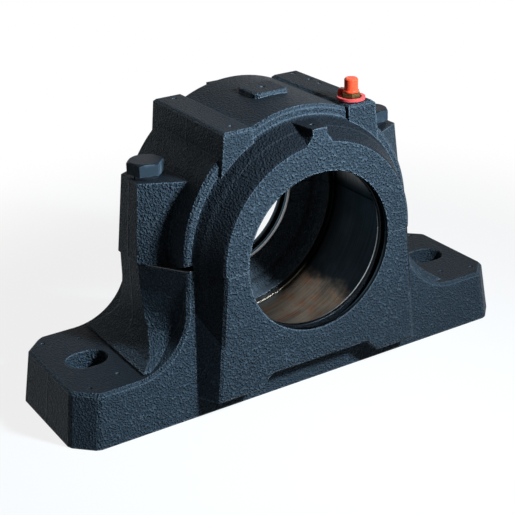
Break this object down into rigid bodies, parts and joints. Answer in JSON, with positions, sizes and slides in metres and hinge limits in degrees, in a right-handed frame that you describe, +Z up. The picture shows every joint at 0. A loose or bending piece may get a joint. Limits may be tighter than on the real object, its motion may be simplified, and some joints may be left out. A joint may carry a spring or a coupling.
{
  "type": "split plummer block housing",
  "caption": "Split cast housing that carries a bearing and shaft above a flat base with slotted feet; its upper half is bolted down and has a capped grease nipple.",
  "frame": {"origin": "centre of the machined mounting face under the base, straight below the shaft centre", "axes": "+X along the feet towards the grease nipple's side, +Y along the shaft away from the nipple's end, +Z up, away from the mounting face"},
  "size_m": [0.345, 0.13, 0.2001],
  "materials": {
    "casting_paint": "dark blue-black semi-gloss paint over rough casting",
    "bolt_paint": "the same paint over steel",
    "dark_steel": "dark, oiled",
    "bright_steel": "ground",
    "plated_brass": "dull plated",
    "red_plastic": "soft moulded plastic"
  },
  "bodies": {
    "base": {"housing_base": "casting_paint", "dowel_pin_left": "bright_steel", "dowel_pin_right": "bright_steel"},
    "cap": {"housing_cap": "casting_paint", "spring_washer_left": "dark_steel", "spring_washer_right": "dark_steel", "grease_nipple": "plated_brass", "nipple_spring": "bright_steel"},
    "bolt_left": {"cap_bolt_left": "bolt_paint"},
    "bolt_right": {"cap_bolt_right": "bolt_paint"},
    "check_ball": {"nipple_check_ball": "bright_steel"},
    "dust_cap": {"nipple_dust_cap": "red_plastic"}
  },
  "joints": [
    {"name": "cap_lift", "type": "slide", "parent": "base", "child": "cap", "axis": [0, 0, 1], "range_m": [0, 0.12]},
    {"name": "bolt_left_out", "type": "slide", "parent": "cap", "child": "bolt_left", "axis": [0, 0, 1], "range_m": [0, 0.09]},
    {"name": "bolt_right_out", "type": "slide", "parent": "cap", "child": "bolt_right", "axis": [0, 0, 1], "range_m": [0, 0.09]},
    {"name": "dust_cap_off", "type": "slide", "parent": "cap", "child": "dust_cap", "axis": [0, 0, 1], "range_m": [0, 0.02]},
    {"name": "check_ball_open", "type": "slide", "parent": "cap", "child": "check_ball", "axis": [0, 0, -1], "range_m": [0, 0.0015], "stiffness_N_per_m": 120, "springref_m": -0.002, "deforming": ["nipple_spring"]}
  ]
}
